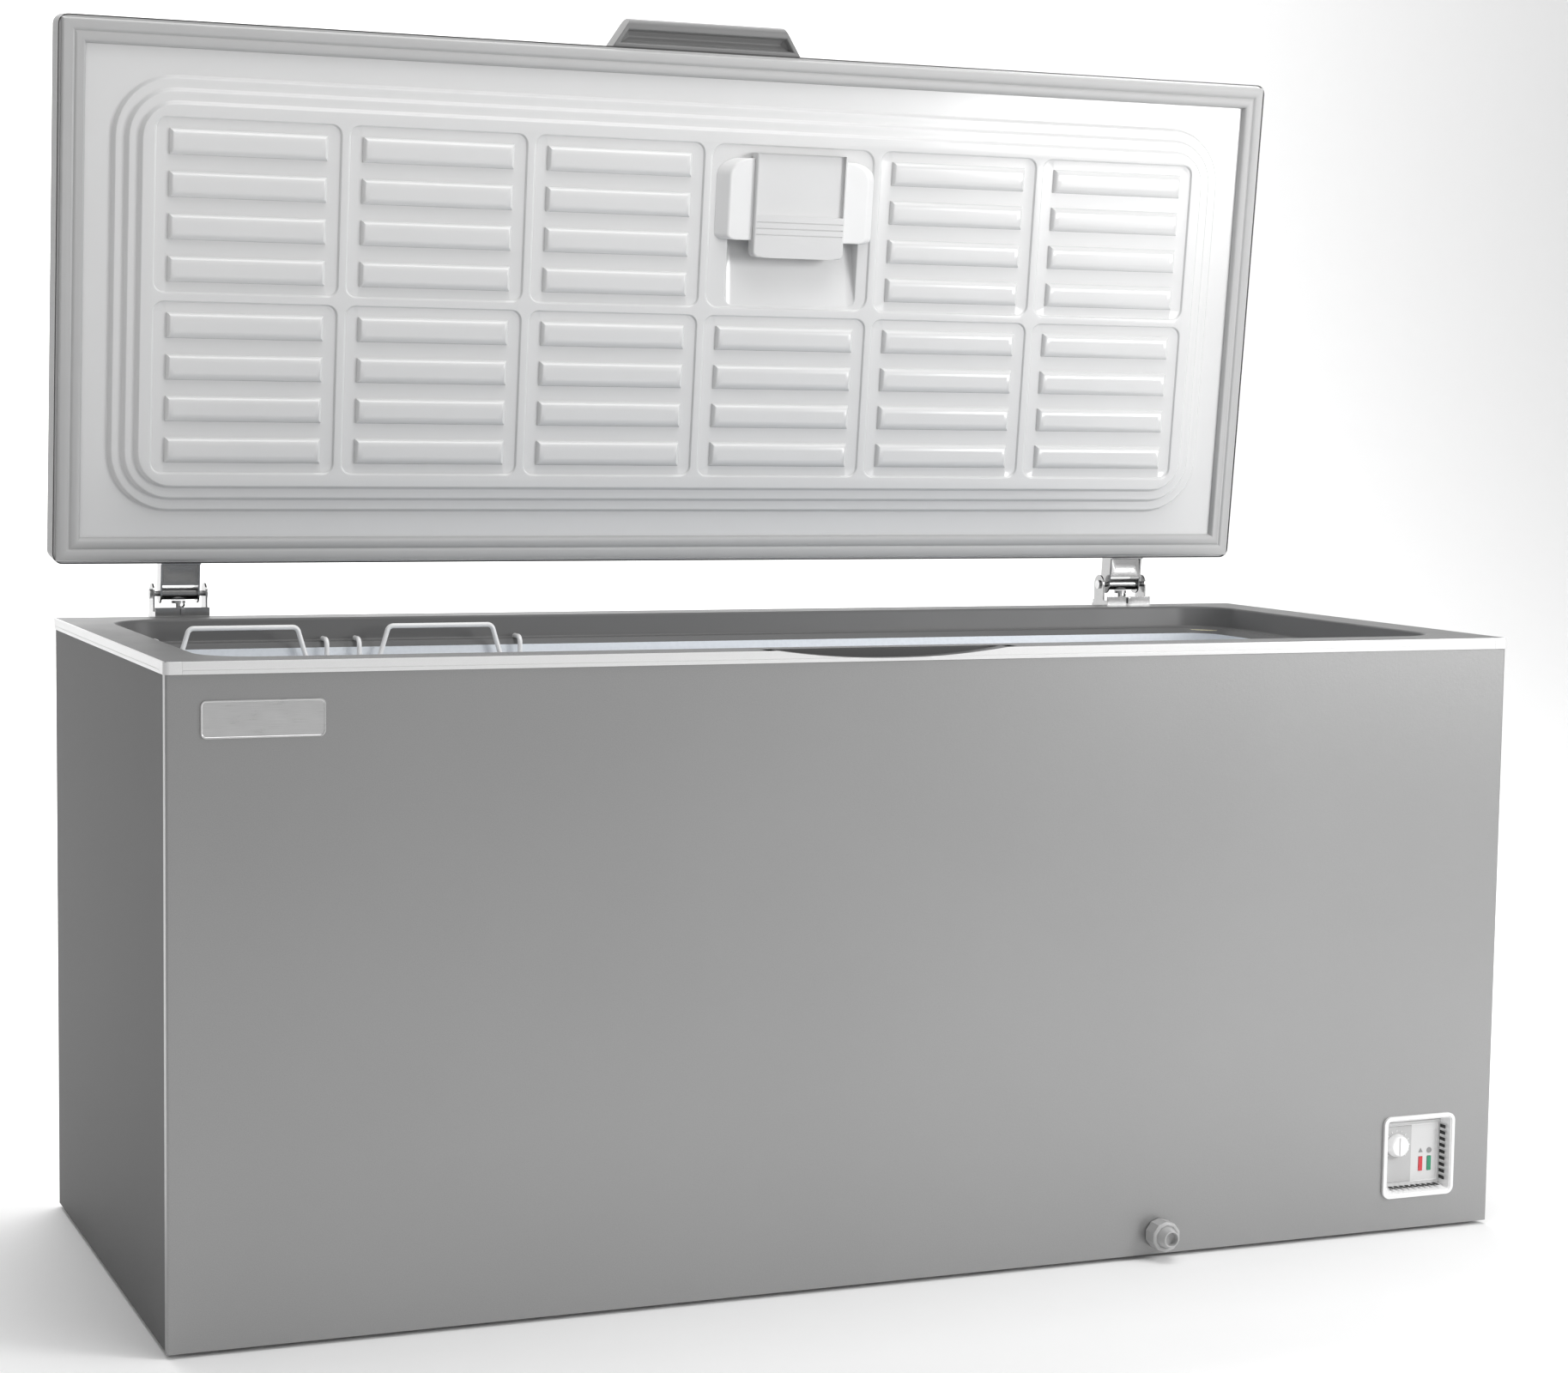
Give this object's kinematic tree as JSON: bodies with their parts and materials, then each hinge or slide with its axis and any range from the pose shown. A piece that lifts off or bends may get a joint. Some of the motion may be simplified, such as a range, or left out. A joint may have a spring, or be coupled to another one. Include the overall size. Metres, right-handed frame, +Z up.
{
  "type": "chest freezer",
  "caption": "Chest freezer with an open counterbalanced lid, moulded collar, hanging wire baskets, lid lamp, thermostat panel and front drain.",
  "frame": {"origin": "on the floor, under the middle of the cabinet", "axes": "+Z up, -Y towards the front where the user stands, +X to the user's right"},
  "size_m": [1.85, 0.8411, 1.6747],
  "materials": {
    "grey_paint": "satin",
    "galvanised": "satin",
    "black_rubber": "matte",
    "foam": "matte",
    "liner_sheet": "satin",
    "grey_plastic": "satin",
    "trim_silver": "satin",
    "dark_plastic": "matte",
    "copper": "satin",
    "plate_metal": "brushed",
    "white_plastic": "gloss",
    "fascia_grey": "matte",
    "red_lens": "gloss",
    "green_lens": "gloss",
    "relay_plastic": "matte",
    "knob_grey": "satin",
    "soft_white": "matte",
    "black_paint": "gloss",
    "screw_steel": "polished",
    "zinc": "satin",
    "lid_paint": "satin",
    "lid_white": "gloss",
    "gasket_grey": "matte",
    "handle_grey": "satin",
    "lamp_clear": "satin",
    "board_white": "matte",
    "wire_white": "gloss"
  },
  "bodies": {
    "cabinet": {"front_panel": "grey_paint", "left_panel": "grey_paint", "right_panel": "grey_paint", "rear_panel": "galvanised", "base_pan": "galvanised", "feet": "black_rubber", "cabinet_foam": "foam", "inner_liner": "liner_sheet", "top_collar": "grey_plastic", "rim_trim": "trim_silver", "trim_corners": "trim_silver", "finger_scoop": "dark_plastic", "evaporator_coil": "copper", "condenser_coil": "copper", "nameplate": "plate_metal", "control_bezel": "white_plastic", "control_fascia": "fascia_grey", "red_lamp": "red_lens", "green_lamp": "green_lens", "thermostat": "relay_plastic", "drain_elbow": "knob_grey", "compressor": "black_paint", "compressor_base": "black_paint", "compressor_mounts": "black_rubber", "start_relay": "relay_plastic", "filter_drier": "copper", "refrigerant_pipes": "copper", "rear_grille": "dark_plastic", "cable_gland": "relay_plastic", "grille_screws": "screw_steel", "hinge_base_left": "zinc", "hinge_base_right": "zinc", "hinge_cover_left": "zinc", "hinge_cover_right": "zinc", "hinge_spring_left": "black_paint", "hinge_spring_right": "black_paint", "hinge_pins": "screw_steel"},
    "lid": {"lid_outer_shell": "lid_paint", "lid_liner": "lid_white", "lid_foam": "foam", "lid_gasket": "gasket_grey", "lid_handle": "handle_grey", "handle_screws": "screw_steel", "hinge_arm_left": "zinc", "hinge_arm_right": "zinc", "lamp_housing": "white_plastic", "lamp_cover": "lamp_clear", "lamp_board": "board_white"},
    "knob": {"thermostat_knob": "white_plastic"},
    "spout": {"drain_spout": "knob_grey"},
    "spout_knob": {"drain_knob": "knob_grey"},
    "plug": {"drain_plug": "soft_white"},
    "basket_a": {"basket_left": "wire_white", "basket_left_bails": "wire_white"},
    "basket_b": {"basket_right": "wire_white", "basket_right_bails": "wire_white"},
    "follower_left": {"hinge_rod_left": "screw_steel"},
    "follower_right": {"hinge_rod_right": "screw_steel"}
  },
  "joints": [
    {"name": "lid_hinge", "type": "hinge", "parent": "cabinet", "child": "lid", "pos_m": [0, 0.4075, 0.852], "axis": [-1, 0, 0], "range_deg": [-84, 4]},
    {"name": "follower_left_slide", "type": "slide", "parent": "cabinet", "child": "follower_left", "axis": [0, 0, -1], "range_m": [-0.0007, 0.0102], "deforming": ["hinge_spring_left"]},
    {"name": "follower_right_slide", "type": "slide", "parent": "cabinet", "child": "follower_right", "axis": [0, 0, -1], "range_m": [-0.0007, 0.0102], "deforming": ["hinge_spring_right"]},
    {"name": "thermostat_turn", "type": "hinge", "parent": "cabinet", "child": "knob", "pos_m": [0.78, -0.3695, 0.12], "axis": [0, -1, 0], "range_deg": [-135, 135]},
    {"name": "drain_pull", "type": "slide", "parent": "cabinet", "child": "spout", "axis": [0, -1, 0], "range_m": [0, 0.03]},
    {"name": "drain_turn", "type": "hinge", "parent": "spout", "child": "spout_knob", "pos_m": [0.4, -0.3875, 0.034], "axis": [0, -1, 0], "range_deg": [0, 180]},
    {"name": "plug_lift", "type": "slide", "parent": "cabinet", "child": "plug", "axis": [0, 0, 1], "range_m": [0, 0.76]},
    {"name": "basket_left_lift", "type": "slide", "parent": "cabinet", "child": "basket_a", "axis": [0, 0, 1], "range_m": [0, 0.4]},
    {"name": "basket_right_lift", "type": "slide", "parent": "cabinet", "child": "basket_b", "axis": [0, 0, 1], "range_m": [0, 0.4]}
  ],
  "couplings": [
    {"joint": "follower_left_slide", "follows": "lid_hinge", "m_per_rad": -0.006821},
    {"joint": "follower_right_slide", "follows": "lid_hinge", "m_per_rad": -0.006821}
  ]
}
